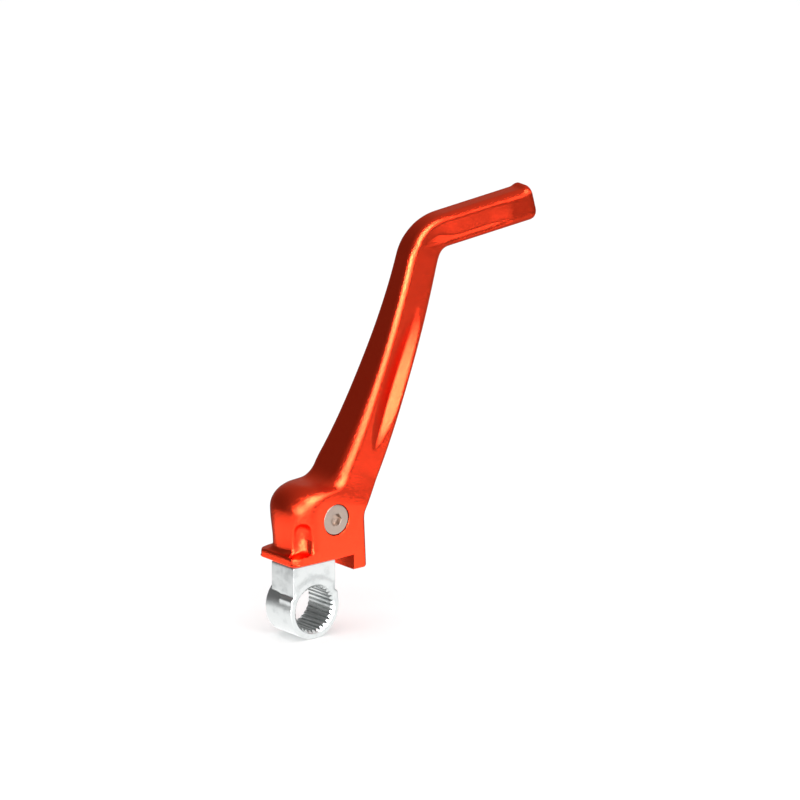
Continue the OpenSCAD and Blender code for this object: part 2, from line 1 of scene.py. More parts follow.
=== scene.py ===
# %% [markdown]
# # A folding kick start lever
# The lever is forged and machined aluminium, anodised orange. It turns on a zinc plated steel
# knuckle with a splined bore, and a countersunk stainless screw holds it on.
# This lesson draws those three pieces as surfaces that follow from a few sizes, gives each one its
# finish, and sets up the plain studio that shows them.

# %% Frame
import math

import bpy
import numpy as np
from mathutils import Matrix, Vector


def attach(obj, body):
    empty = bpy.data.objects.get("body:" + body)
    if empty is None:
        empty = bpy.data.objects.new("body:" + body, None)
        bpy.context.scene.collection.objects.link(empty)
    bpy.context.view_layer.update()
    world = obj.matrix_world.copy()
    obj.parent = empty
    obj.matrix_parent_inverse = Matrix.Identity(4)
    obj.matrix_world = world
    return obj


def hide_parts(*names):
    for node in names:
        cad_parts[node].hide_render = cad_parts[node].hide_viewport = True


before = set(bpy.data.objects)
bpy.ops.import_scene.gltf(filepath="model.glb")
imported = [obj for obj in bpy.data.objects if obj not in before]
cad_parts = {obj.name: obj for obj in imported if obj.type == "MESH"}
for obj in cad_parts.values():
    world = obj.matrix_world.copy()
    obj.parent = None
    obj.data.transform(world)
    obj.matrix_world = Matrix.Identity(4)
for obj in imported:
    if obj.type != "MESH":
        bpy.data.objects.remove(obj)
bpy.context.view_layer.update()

# %% [markdown]
# ## Small tools
# All sizes are written in millimetres and become metres only when a mesh is made.
# A surface is a grid of points: its rows follow one direction and its columns the other, so the
# faces between them come from counting alone. A flat end is closed by strips or by a single point.

# %% Tools for surfaces
MM = 0.001


def mix(a, b, t):
    """The value a share t of the way from a to b."""
    return a + (b - a) * t


def clamp01(t):
    """The value t held between 0 and 1."""
    return np.clip(t, 0.0, 1.0)


def ease(t):
    """A share that starts and ends gently: three t squared less two t cubed."""
    c = clamp01(t)
    return c * c * (3 - 2 * c)


def soft_least(a, b, blend):
    """The lesser of a and b, with the corner between them rounded over the length blend."""
    h = clamp01(0.5 + 0.5 * (b - a) / blend)
    return mix(b, a, h) - blend * h * (1 - h)


def joined(*parts):
    """Arrays or plain numbers side by side, along a new last axis."""
    return np.stack(np.broadcast_arrays(*parts), axis=-1)


def grid_faces(rows, columns, close_rows=False):
    """Four-cornered faces of a grid whose columns close into rings."""
    r = np.arange(rows if close_rows else rows - 1)[:, None]
    c = np.arange(columns)[None, :]
    here, beside = r * columns, (r + 1) % rows * columns
    after = (c + 1) % columns
    return joined(here + c, beside + c, beside + after, here + after).reshape(-1, 4)


def fan(pole, first, count, flipped=False):
    """Triangles from the point pole to a ring of count points that starts at the point first."""
    c = np.arange(count)
    here, beside = first + c, first + (c + 1) % count
    pair = (beside, here) if flipped else (here, beside)
    return joined(pole, *pair)


def add_object(name, data):
    """A new object in the scene."""
    thing = bpy.data.objects.new(name, data)
    bpy.context.scene.collection.objects.link(thing)
    return thing


def face_along(thing, place, direction):
    """Puts a camera or a light at a place, with its back along a direction."""
    thing.location = place
    thing.rotation_mode = "QUATERNION"
    thing.rotation_quaternion = direction.to_track_quat("Z", "Y")


def make_mesh(name, points, *face_sets):
    """A mesh object from points in millimetres and sets of faces, with its normals outward."""
    sizes = np.concatenate([np.full(len(f), f.shape[1]) for f in face_sets])
    corners = np.concatenate([f.ravel() for f in face_sets]).astype(np.int32)
    starts = np.cumsum(sizes) - sizes
    triangles = np.concatenate(
        [np.concatenate([f[:, [0, k, k + 1]] for k in range(1, f.shape[1] - 1)]) for f in face_sets]
    )
    a, b, c = (points[triangles[:, k]] for k in range(3))
    volume = (a * np.cross(b, c)).sum() / 6
    if volume < 0:
        corners = np.concatenate([f[:, ::-1].ravel() for f in face_sets]).astype(np.int32)
    mesh = bpy.data.meshes.new(name)
    mesh.vertices.add(len(points))
    mesh.vertices.foreach_set("co", (np.asarray(points, float) * MM).astype(np.float32).ravel())
    mesh.loops.add(len(corners))
    mesh.loops.foreach_set("vertex_index", corners)
    mesh.polygons.add(len(sizes))
    mesh.polygons.foreach_set("loop_start", starts.astype(np.int32))
    mesh.update(calc_edges=True)
    mesh.validate()
    print(name, "points", len(points), "faces", len(sizes), "volume cm3", round(abs(volume) / 1000, 2))
    return add_object(name, mesh)


def turned(name, profile, sides, place):
    """A turned body: each profile row is a radius and a height, and the radius is 0 at both ends.
    Point k of a ring is at k / sides of a turn, and place says where its east, north and height go."""
    profile = np.asarray(profile, float)
    ring = profile[1:-1]
    angle = np.linspace(0, 2 * np.pi, sides, endpoint=False)
    east, north = ring[:, :1] * np.cos(angle), ring[:, :1] * np.sin(angle)
    ends = np.array([[0, 0, profile[0, 1]], [0, 0, profile[-1, 1]]])
    local = np.concatenate([joined(east, north, ring[:, 1:]).reshape(-1, 3), ends])
    points = joined(*place(local[:, 0], local[:, 1], local[:, 2]))
    last, pole = (len(ring) - 1) * sides, len(ring) * sides
    caps = fan(pole, 0, sides), fan(pole + 1, last, sides, flipped=True)
    return make_mesh(name, points, grid_faces(len(ring), sides), *caps)


def drill(name, r, low, high, sides, place):
    """A plain round body from low to high, which cuts a hole of the radius r."""
    return turned(name, [(0, low), (r, low), (r, high), (0, high)], sides, place)


def combine(thing, others, operation):
    """Cuts the other bodies out of thing, or joins them to it, and takes them away."""
    for other in others:
        step = thing.modifiers.new(other.name, "BOOLEAN")
        step.operation = operation
        step.solver = "MANIFOLD"
        step.object = other
    bpy.context.view_layer.update()
    result = bpy.data.meshes.new_from_object(thing.evaluated_get(bpy.context.evaluated_depsgraph_get()))
    thing.modifiers.clear()
    old = thing.data
    thing.data = result
    bpy.data.meshes.remove(old)
    for other in others:
        bpy.data.objects.remove(other)
    print(thing.name, "after", operation.lower(), "faces", len(result.polygons))


def shade(thing, degrees):
    """Smooth shading, with a crisp line wherever neighbouring faces meet at more than this angle."""
    thing.data.shade_smooth()
    thing.data.set_sharp_from_angle(angle=math.radians(degrees))


# %% [markdown]
# ## The middle line of the lever
# The forging is one bar: an arm that straightens a little as it rises, a bend, and the pedal that
# the foot pushes. The middle line comes from adding up small steps in the direction of the lean, and
# the two inner and outer edges follow it at half the bar's width.

# %% Sizes of the lever
under = 26.2
flange_height, flange_reach, lobe_r = 4.9, 17.5, 4.7
head_half, head_edge, head_edge_r = 15.5, 29.6, 2.6
dome_r, dome_foot_r, dome_foot_rise = 16.7, 15.0, 3.0
dome_wall_top, dome_crown, crown_start = 54.0, 65.4, -2.0
saddle_r, shoulder_r = 13.0, 10.0
heel_start, heel_drop, heel_round, base_round = 22.0, 7.8, 2.4, 0.8
foot_x, foot_z, lean_foot, lean_top = 29.2, 69.8, 32.5, 16.2
arm_length, arm_width_foot, arm_width_top = 112.0, 25.0, 20.9
arm_half_foot, arm_half_top, arm_taper = 13.2, 7.3, 1.45
arm_edge_r, foot_edge_r, edge_run = 4.4, 6.6, 60.0
bend_r, bend_softness, pedal_lean = 20.0, 0.5, 85.8
pedal_length, pedal_width, pedal_half = 55.5, 18.1, 7.0
lip_rise, lip_length, end_round, end_thin = 1.3, 6.5, 3.0, 0.8
flange_top = under + flange_height
heel_bottom = under - heel_drop
bend_length = bend_r * math.radians(pedal_lean - lean_top)
pedal_start = arm_length + bend_length
bar_end = pedal_start + pedal_length


def along(degrees):
    """Unit direction of the bar, as x and z, at a lean from upright."""
    return joined(np.sin(np.radians(degrees)), np.cos(np.radians(degrees)))


def across(degrees):
    """Unit direction from the outer to the inner edge, square to the bar."""
    return joined(np.cos(np.radians(degrees)), -np.sin(np.radians(degrees)))


def lean_at(s):
    """Lean in degrees at the length s from the arm's foot."""
    t = (s - arm_length) / bend_length
    arm = mix(lean_foot, lean_top, s / arm_length)
    turn = mix(lean_top, pedal_lean, mix(clamp01(t), ease(t), bend_softness))
    return np.where(s < arm_length, arm, turn)


STEP = 0.25
steps = np.arange(0, bar_end + 4, STEP)
line = np.concatenate([[[0.0, 0.0]], np.cumsum(STEP * along(lean_at(steps + STEP / 2)), axis=0)])
line_s = np.arange(len(line)) * STEP


def line_at(s):
    """Point of the middle line, as x and z."""
    return joined(foot_x + np.interp(s, line_s, line[:, 0]), foot_z + np.interp(s, line_s, line[:, 1]))


def width_at(s):
    """Width from the outer to the inner edge: an even taper in the arm, and an eased one in the bend."""
    arm = mix(arm_width_foot, arm_width_top, s / arm_length)
    bend = mix(arm_width_top, pedal_width, ease((s - arm_length) / bend_length))
    return np.where(s < arm_length, arm, bend)


def half_at(s):
    """Half thickness: in the arm it falls with a power of the share that is left up to the bend."""
    arm = mix(arm_half_top, arm_half_foot, clamp01(1 - s / arm_length) ** arm_taper)
    bend = mix(arm_half_top, pedal_half, ease((s - arm_length) / bend_length))
    return np.where(s < arm_length, arm, bend)


print("bar length", round(bar_end, 1), "end of the pedal at", line_at(np.array([bar_end])).round(1))

# %% [markdown]
# ## Flute and recess
# Both faces carry a long spindle-shaped flute in the arm and a shallow recess in the pedal, which
# the forging dies press in to save weight. Each is a depth that depends on the length along the bar
# and on the offset from its middle line, with a floor that comes to a soft line.

# %% Depth of the flute and the recess
flute_start, flute_length, flute_depth = 12.5, 76.5, 3.4
flute_outer, flute_inner, flute_shift, flute_sharpness = 8.2, 5.8, 2.4, 1.1
recess_end, recess_back, recess_depth = 16.5, 17.0, 1.6
recess_upper, recess_lower, recess_drop = 9.0, 4.6, 3.3
recess_sharpness, recess_run_in, recess_run_out = 1.1, 20.0, 12.0
recess_turn, recess_turn_run = -3.0, 6.0
valley_blend = 0.12


def valley_curve(q, sharpness):
    """Share of the full depth at the share q of the half width, with the floor's line rounded."""
    soft = np.sqrt(q * q + valley_blend**2) - valley_blend
    return clamp01(1 - soft) ** sharpness


def flute_at(s, u):
    """Depth of the flute at the length s and the offset u. The share k is 1 at its middle and falls to
    0 at both ends as a parabola: the depth follows k, and the half width follows its root."""
    t = 2 * (s - flute_start) / flute_length - 1
    k = np.maximum(1e-9, 1 - t * t)
    v = u - flute_shift
    q = np.where(v < 0, -v / flute_outer, v / flute_inner) / np.sqrt(k)
    return flute_depth * k * valley_curve(q, flute_sharpness)


def recess_at(s, u):
    """Depth of the recess at the length s and the offset u. It deepens and fades as square roots of the
    length, and its valley moves from one side of the middle line to the other past the bend."""
    start, end = pedal_start - recess_back, bar_end - recess_end
    k = np.sqrt(clamp01((s - start) / recess_run_in)) * np.sqrt(clamp01((end - s) / recess_run_out))
    v = u - mix(recess_turn, recess_drop, ease((s - start) / (recess_back + recess_turn_run)))
    q = np.where(v < 0, -v / recess_upper, v / recess_lower)
    return recess_depth * k * valley_curve(q, recess_sharpness)


flute_middle = np.array(flute_start + flute_length / 2)
print("flute, mm deep at its middle:", flute_at(flute_middle, np.array(flute_shift)).round(2))

# %% [markdown]
# ## Rows of the lever
# Every row of the surface is a closed ring round the bar, made of two mirrored halves: a rounded
# outer corner, the flat face and a rounded inner corner. Rows are level in the head, fan out where
# the domed end turns into the arm, and are square to the middle line from there to the pedal's end.

# %% Rows
# columns of the outer corner, the flat face and the inner corner
CORNER, FACE, INNER = 58, 60, 12
# the flat face's column that becomes the inner side of the heel
NOTCH = 44
half_count = CORNER + FACE + INNER + 1
parting_half = 0.4
corner_t = np.linspace(0, np.pi / 2, CORNER + 1)
inner_t = np.linspace(np.pi / 2, 0, INNER + 1)
face_column = np.arange(1, FACE)
face_plain = face_column / FACE


def half_outline(w, b, ro, ri, notch=0.0, pair_at=0.0, gap=0.0):
    """Distance from the outer edge and half thickness for every column of every row.
    The corners are quarter circles of radius ro and ri. Where notch is 1, a pair of columns stands the
    length gap either side of the distance pair_at from the outer edge."""
    w, b, ro, ri, notch, pair_at, gap = (
        np.asarray(v, float).reshape(-1, 1) for v in (w, b, ro, ri, notch, pair_at, gap)
    )
    ro = np.minimum(ro, b - parting_half)
    run = w - ri - ro
    left, right = (pair_at - gap - ro) / run, (pair_at + gap - ro) / run
    beyond = mix(right, 1, (face_column - NOTCH - 1) / (FACE - NOTCH - 1))
    face_notch = np.where(face_column <= NOTCH, face_column / NOTCH * left, beyond)
    share = mix(face_plain, face_notch, notch)
    a = [ro * (1 - np.cos(corner_t)), mix(ro, w - ri, share), w - ri * (1 - np.cos(inner_t))]
    y = [b - ro * (1 - np.sin(corner_t)), b + 0 * share, b - ri * (1 - np.sin(inner_t))]
    return np.concatenate(a, axis=1), np.concatenate(y, axis=1)


def place_rows(outer, inner, a, y, w):
    """Points of half rows: the share a / w of the way from the outer to the inner edge."""
    t = (a / np.asarray(w, float).reshape(-1, 1))[..., None]
    xz = mix(outer[:, None, :], inner[:, None, :], t)
    return joined(xz[..., 0], -y, xz[..., 1])


# %% [markdown]
# The level rows begin with the rounding of the underside. The base flange comes next, then a hollow
# fillet up to the domed end. Each row is a height and a share, 0 for the flange's outline and 1 for
# the domed end's. The columns past the heel's inner side hang lower, and a pair of columns close
# together makes the upright step between the underside and the heel. The pair parts as it climbs.

# %% Level rows of the base
turn = np.linspace(0, np.pi / 2, 8)
flange_edge, edge_share = 2.0, 0.24
flange_z = np.linspace(under + base_round, flange_top - flange_edge, 6)[1:]
flange_rows = joined(flange_z, 0.0)
edge_rows = joined(
    flange_top - flange_edge * (1 - np.sin(turn[1:])), edge_share * (1 - np.cos(turn[1:]))
)
sweep = np.linspace(0, np.pi / 2, 15)[1:]
dome_foot_z = flange_top + dome_foot_rise
fillet_rows = joined(
    flange_top + dome_foot_rise * (1 - np.cos(sweep)), mix(edge_share, 1.0, np.sin(sweep))
)
fan_height = 10.0
head_start = dome_wall_top - fan_height
level_z = np.linspace(dome_foot_z, head_start, 24)[1:-1]
wall_rows = joined(level_z, 1.0)
level = np.concatenate([flange_rows, edge_rows, fillet_rows, wall_rows])


def dome_reach(z):
    """How far the domed end stands from the fold axis at a height, widening as it rises."""
    return mix(dome_foot_r, dome_r, ease((z - dome_foot_z) / (dome_wall_top - dome_foot_z)))


def level_half(z, reach, edge, b, ro, ri, gap):
    """Half rows of level sections, before the heel's columns are lowered."""
    w = reach + edge
    a, y = half_outline(w, b, ro, ri, 1.0, heel_start + reach, gap)
    return place_rows(joined(-reach, z), joined(edge, z), a, y, w)


inset = base_round * (1 - np.sin(turn))
rise = base_round * (1 - np.cos(turn))
bottom_sizes = (size - inset for size in (flange_reach, head_edge, head_half, lobe_r, head_edge_r))
bottom = level_half(under + rise, *bottom_sizes, 0.0)
q = level[:, 1]
climb = (level[:, 0] - (under + base_round)) / (head_start - under - base_round)
widest_gap, least_gap, gap_growth = 0.94, 0.02, 2.5
pair_gap = np.minimum(widest_gap, least_gap / np.maximum(1 - climb, 0.05) ** gap_growth)
sides = level_half(
    level[:, 0],
    mix(flange_reach, dome_reach(level[:, 0]), q),
    np.full(len(q), head_edge),
    np.full(len(q), head_half),
    mix(lobe_r, head_half - parting_half, q),
    np.full(len(q), head_edge_r),
    pair_gap,
)
heel_column = CORNER + NOTCH
is_heel = np.arange(half_count) > heel_column
corner_share = clamp01((np.arange(half_count) - (half_count - 1 - INNER)) / INNER)
heel_rise = mix(rise[:, None], heel_round * (1 - np.cos(turn))[:, None], corner_share)
bottom[..., 2] = np.where(is_heel, heel_bottom + heel_rise, bottom[..., 2])
bottom[..., 0] -= (heel_round * (1 - np.sin(turn)) - inset)[:, None] * corner_share
lowest = np.where(is_heel, heel_bottom + heel_rise[-1], under + base_round)
sides[..., 2] = np.where(is_heel, mix(lowest, head_start, climb[:, None]), sides[..., 2])
print("level rows", len(bottom) + len(sides))

# %% [markdown]
# The head's rows fan out between two paths. The outer path climbs the dome, runs over its crown and
# follows the saddle up to the arm, and the inner path follows the shoulder. Each row joins points at
# the same share of the two lengths.

# %% Fanned rows of the head
foot = np.array([foot_x, foot_z])
foot_outer = foot - arm_width_foot / 2 * across(lean_foot)
foot_inner = foot + arm_width_foot / 2 * across(lean_foot)
tangent = math.tan(math.radians(lean_foot))
saddle_turn = math.radians(90 - lean_foot)
saddle_x = foot_outer[0] - (foot_outer[1] - dome_crown) * tangent
saddle_run = saddle_r * math.tan(saddle_turn / 2)
shoulder_z = foot_inner[1] - (foot_inner[0] - head_edge) / tangent
shoulder_run = shoulder_r * math.tan(math.radians(lean_foot) / 2)


def path_of(*parts):
    """One path, as rows of x and z, from parts that follow each other."""
    return np.concatenate([joined(x, z).reshape(-1, 2) for x, z in parts])


wall_z = np.linspace(head_start, dome_wall_top, 22)[:-1]
dome_t = np.linspace(0, np.pi / 2, 34)
saddle_t = np.linspace(0, saddle_turn, 18)
shoulder_t = np.linspace(0, math.radians(lean_foot), 20)
quarters, thirds = np.array([0.25, 0.5, 0.75]), np.array([0.33, 0.67, 1.0])
outer_path = path_of(
    (-dome_reach(wall_z), wall_z),
    (
        crown_start - (dome_r + crown_start) * np.cos(dome_t),
        dome_wall_top + (dome_crown - dome_wall_top) * np.sin(dome_t),
    ),
    (mix(crown_start, saddle_x - saddle_run, quarters), dome_crown),
    (saddle_x - saddle_run + saddle_r * np.sin(saddle_t), dome_crown + saddle_r * (1 - np.cos(saddle_t))),
    (
        mix(saddle_x + saddle_run * along(lean_foot)[0], foot_outer[0], thirds),
        mix(dome_crown + saddle_run * along(lean_foot)[1], foot_outer[1], thirds),
    ),
)
inner_path = path_of(
    (np.full(1, head_edge), np.full(1, head_start)),
    (
        head_edge + shoulder_r * (1 - np.cos(shoulder_t)),
        shoulder_z - shoulder_run + shoulder_r * np.sin(shoulder_t),
    ),
    (foot_inner[:1], foot_inner[1:]),
)


def lengths(path):
    """Length along a path up to each of its points."""
    return np.concatenate([[0], np.cumsum(np.linalg.norm(np.diff(path, axis=0), axis=1))])


outer_share = lengths(outer_path) / lengths(outer_path)[-1]
inner_length = lengths(inner_path)
target = outer_share * inner_length[-1]
inner_points = joined(*(np.interp(target, inner_length, inner_path[:, k]) for k in range(2)))
blend_from, head_taper, notch_fade = 0.34, 1.2, 8.0
progress = clamp01((outer_share - blend_from) / (1 - blend_from))
head_w = np.linalg.norm(inner_points - outer_path, axis=1)
head_b = mix(head_half, arm_half_foot, progress**head_taper)
head_a, head_y = half_outline(
    head_w,
    head_b,
    mix(head_half, foot_edge_r, ease(progress)),
    np.full(len(head_w), head_edge_r),
    1 - clamp01((outer_path[:, 1] - head_start) / notch_fade),
    heel_start - outer_path[:, 0],
    widest_gap,
)
head = place_rows(outer_path, inner_points, head_a, head_y, head_w)[:-1]
print("fanned rows", len(head))

# %% [markdown]
# From the arm's foot on, a row is the cross section of the bar at one length. The flute and the
# recess lower its face, the lip lifts the outer edge at the pedal's end, and the last rows draw in
# to round the end. The end face leans a little more than the pedal, as a saw cut would leave it.

# %% Rows of the bar
end_slant, slant_run, top_round = 1.4, 14.0, 1.2
bar_s = np.concatenate([
    np.linspace(0, arm_length, 84)[:-1],
    np.linspace(arm_length, pedal_start, 34)[:-1],
    np.linspace(pedal_start, bar_end - lip_length, 34)[:-1],
    np.linspace(bar_end - lip_length, bar_end - end_round, 10)[:-1],
])
end_t = np.linspace(0, np.pi / 2, 10)
bar_s = np.concatenate([bar_s, bar_end - end_round * (1 - np.sin(end_t))])
drawn_in = np.concatenate([np.zeros(len(bar_s) - len(end_t)), 1 - np.cos(end_t)])
lip = lip_rise * ease((bar_s - bar_end + lip_length) / lip_length)
middle, square = line_at(bar_s), across(lean_at(bar_s))
half_width = width_at(bar_s) / 2
slant = end_slant * ease((bar_s - bar_end + slant_run) / slant_run)[:, None] * along(lean_at(bar_s))
bar_outer = middle - (half_width + lip - top_round * drawn_in)[:, None] * square - slant
bar_inner = middle + (half_width - end_round * drawn_in)[:, None] * square + slant
bar_w = np.linalg.norm(bar_inner - bar_outer, axis=1)
grown = ease(bar_s / edge_run)
outer_r, inner_r = (mix(r, arm_edge_r, grown) - end_thin * drawn_in for r in (foot_edge_r, head_edge_r))
bar_b = half_at(bar_s) - end_thin * drawn_in
bar_a, bar_y = half_outline(bar_w, bar_b, outer_r, inner_r)
offset = bar_a - bar_w[:, None] / 2
pressed = flute_at(bar_s[:, None], offset) + recess_at(bar_s[:, None], offset)
upright = clamp01(2 * (bar_y - bar_b[:, None] + outer_r[:, None]) / outer_r[:, None])
bar = place_rows(bar_outer, bar_inner, bar_a, bar_y - pressed * upright, bar_w)
print("bar rows", len(bar))

# %% [markdown]
# ## Pockets of the domed end
# Two scoops are milled into the domed end above the flange's lobes. Each one is a wall whose depth
# from the outside depends on the place across it and on the height: narrow and arched at the top,
# wide at the floor, which slopes out to the flange. Points outside that wall are drawn in to it,
# along the direction that the scoop faces, and the rim is softened by the blend. Above the scoops
# the wall is set so far out that nothing reaches it. Last, the head's inner edge gets its draft.

# %% Pockets
pocket_angle = math.radians(53)
pocket_in, pocket_out, pocket_arch, pocket_top = 12.0, 17.6, 42.0, 48.4
pocket_low_half, pocket_high_half, pocket_roundness, pocket_blend = 8.2, 6.6, 2.4, 1.4
floor_rim, floor_top, floor_low, wall_bend, wall_slope = 20.8, 33.6, 30.6, 38.6, 0.21
pocket_limit, out_of_reach = 6.0, 40.0


def press_pockets(points):
    """Moves the points of half rows in to the pocket's wall where they stand outside it."""
    x, y, z = points[..., 0], -points[..., 1], points[..., 2]
    out = -x * math.cos(pocket_angle) + y * math.sin(pocket_angle)
    aside = x * math.sin(pocket_angle) + y * math.cos(pocket_angle)
    arch = clamp01((z - pocket_arch) / (pocket_top - pocket_arch))
    roof = np.sqrt(np.maximum(1e-4, 1 - arch**2))
    half = mix(pocket_low_half, pocket_high_half, clamp01((z - flange_top) / (pocket_arch - flange_top)))
    deepest = mix(pocket_out, pocket_in, roof)
    across_share = np.abs(aside) / (half * np.sqrt(roof))
    wall = deepest + (pocket_out - pocket_in) * across_share**pocket_roundness
    wall = wall + wall_slope * np.maximum(0, wall_bend - z)
    start = pocket_in + wall_slope * (wall_bend - floor_top)
    drop = clamp01((floor_top - z) / (floor_top - floor_low))
    floor = floor_rim - (floor_rim - start) * np.sqrt(1 - drop**2)
    wall = np.maximum(wall, np.where(z < floor_top, floor, 0)) + np.where(z > pocket_top, out_of_reach, 0)
    moved = soft_least(out, np.minimum(wall, out + 3 * pocket_blend), pocket_blend)
    scooped = (z > under + base_round) & (x < pocket_limit) & (z < pocket_top)
    shift = np.where(scooped, out - moved, 0)
    result = points.copy()
    result[..., 0] += shift * math.cos(pocket_angle)
    result[..., 1] += shift * math.sin(pocket_angle)
    return result


half_rows = press_pockets(np.concatenate([bottom, sides, head, bar]))
draft, draft_top, draft_run = 0.048, 52.0, 6.0
below = np.maximum(0, draft_top - half_rows[..., 2])
half_rows[..., 0] += draft * below * ease((half_rows[..., 0] - heel_start) / draft_run)
from_axis = np.hypot(half_rows[..., 0], half_rows[..., 1])
at_bend = np.abs(half_rows[..., 2] - wall_bend) < 1
print("deepest point of a pocket, mm from the axis:", from_axis[at_bend].min().round(2))

# %% [markdown]
# ## One closed lever body
# The half rows are mirrored into rings, and strips between the two mirrored halves close the
# underside and the pedal's end.

# %% Lever
mirrored = half_rows[:, ::-1] * np.array([1, -1, 1])
rings = np.concatenate([half_rows, mirrored], axis=1)
rows, columns = rings.shape[:2]
j = np.arange(half_count - 1)
strip = joined(j, j + 1, columns - 2 - j, columns - 1 - j)
last = (rows - 1) * columns
lever = make_mesh(
    "lever_body", rings.reshape(-1, 3), grid_faces(rows, columns), strip, strip[:, ::-1] + last
)

# %% [markdown]
# The holes are drilled afterwards, as in the real forging: the bore for the pin, the seat of the
# screw and two drill points for the detent ball. A cutting body spills over the face it opens.

# %% Holes of the lever
FINE, MEDIUM, COARSE = 144, 64, 48
spill = 2.0
pin_r, pin_fit, pin_length, land_height, land_gap = 7.5, 0.05, 28.9, 1.45, 0.05
land_top = under - land_gap
pin_top = land_top + pin_length
screw_r, screw_head_r, screw_rim, screw_length, screw_sink = 4.0, 8.0, 0.5, 26.0, 0.5
screw_gap, screw_fit, screw_bite, screw_height = 0.3, 0.05, 0.9, 21.1
screw_x, screw_z = pin_r + screw_r - screw_bite, under + screw_height
screw_top = -head_half + screw_sink
ball_offset, dimple_r, dimple_rise = 10.5, 1.803, 1.083
cone_top = screw_top + screw_rim + screw_gap


def upright_at(x, y):
    """Places a turned body with its axis upright through x and y."""
    return lambda east, north, height: (x + east, y + north, height)


def along_screw(east, north, height):
    """Places a turned body with its axis along Y through the screw."""
    return screw_x + east, height, screw_z - north


bore_top = pin_top + land_height
bore_r = pin_r + pin_fit
pin_bore = drill("pin_bore", bore_r, under - 2 * spill, bore_top, FINE, upright_at(0, 0))
mouth = 0.25
seat = turned(
    "seat",
    [
        (0, -head_half - spill),
        (screw_head_r + screw_gap + mouth + spill, -head_half - spill),
        (screw_head_r + screw_gap, -head_half + mouth),
        (screw_head_r + screw_gap, cone_top),
        (screw_r + screw_gap, cone_top + screw_head_r - screw_r),
        (screw_r + screw_fit, cone_top + screw_head_r - screw_r),
        (screw_r + screw_fit, screw_top + screw_rim + screw_length),
        (0, screw_top + screw_rim + screw_length),
    ],
    FINE,
    along_screw,
)
dimples = [
    turned(
        f"dimple_{k}",
        [(0, under - dimple_rise), (2 * dimple_r, under - dimple_rise), (0, under + dimple_rise)],
        COARSE,
        upright_at(x, y),
    )
    for k, (x, y) in enumerate([(-ball_offset, 0), (0, -ball_offset)])
]
combine(lever, [pin_bore, seat, *dimples], "DIFFERENCE")
shade(lever, 32)

# %% [markdown]
# ## The knuckle
# The knuckle's hub and shank are one profile carried round the splined bore. Its outer end follows
# the outline seen from the front, a ring that grows into an upright block, and its inner end follows
# thirty teeth. Both are radii that depend on the angle round the bore.

# %% Curves of the bore and the outline
hub_r, hub_half, hub_rim = 16.0, 10.7, 0.9
root_r, tip_r, teeth, groove_share, floor_share = 12.6, 11.5, 30, 0.56, 0.22
bore_chamfer = 0.6
shank_half, shank_top, shank_fillet = 13.9, 24.7, 3.0
shank_front, shank_back, block_edge = 10.3, 8.0, 0.8
hub_blend, block_low, squareness = 1.2, 0.2, 50
AROUND = 720
angle = np.linspace(0, 2 * np.pi, AROUND, endpoint=False)[:, None]


def tooth_curve(theta):
    """Radius of the splined bore: each groove's flanks are straight lines that narrow to its floor."""
    pitch = 2 * np.pi / teeth
    d = np.abs((theta + pitch / 2) % pitch - pitch / 2)
    tip_half = tip_r * math.tan(pitch * groove_share / 2)
    slope = tip_half * (1 - floor_share) / (root_r - tip_r)
    flank = (tip_half + slope * tip_r) / (np.sin(d) + slope * np.cos(d))
    return np.clip(flank, tip_r, root_r / np.cos(d))


def outline_curve(theta):
    """Radius of the front view: the hub's circle, the block with soft corners, and fillets between."""
    x, z = np.abs(np.cos(theta)), np.sin(theta)
    flat_x, flat_z = x * shank_top / shank_half, np.maximum(z, block_low)
    block = shank_top * (flat_x**squareness + flat_z**squareness) ** (-1 / squareness)
    block = np.where(z > block_low, block, hub_r)
    cx = shank_half + shank_fillet
    cz = math.sqrt((hub_r + shank_fillet) ** 2 - cx**2)
    reach = x * cx + z * cz
    inside = np.maximum(0, reach**2 - (cx**2 + cz**2 - shank_fillet**2))
    fillet = reach - np.sqrt(inside)
    low, high = math.atan2(cz, cx), math.atan2(cz, shank_half)
    folded = np.arctan2(z, x)
    return np.where(folded < low, hub_r, np.where(folded < high, fillet, np.maximum(block, hub_r)))


outline = outline_curve(angle)
blockness = ease((outline - hub_r) / hub_blend)
print("outline radius, mm:", outline.min().round(2), "to", outline.max().round(2))

# %% [markdown]
# The stations follow one meridian: in through the bore, over the front ring or the block, along the
# outside, over the back and into the bore again. Each is a radius and a depth along the bore, and
# the share of block in them grows where the outline leaves the hub's circle. The ring's faces stand
# a little proud of the block. The front fillet beside the block is a bit fuller than the back one.

# %% Knuckle body
block_step = 3.0
fuller_rise, fuller_lean, fuller_spread = 0.75, 24, 6
fuller_from, fuller_run, fuller_edge = -1.0, 1.2, 0.8
u = np.linspace(0, 1, 30)[None, :]
quarter = np.pi / 2
ring_r = hub_r - hub_rim
block_r = np.minimum(hub_r + block_step, outline - block_edge)


def piecewise(u, *parts):
    """Joins parts, each a share where it ends and its two curves over its own share from 0 to 1."""
    r, y, start = 0, 0, 0.0
    for end, radius, depth in parts:
        t = clamp01((u - start) / (end - start))
        inside = (u >= start) & (u < end) if end < 1 else (u >= start)
        r, y = r + inside * radius(t), y + inside * depth(t)
        start = end
    return r, y


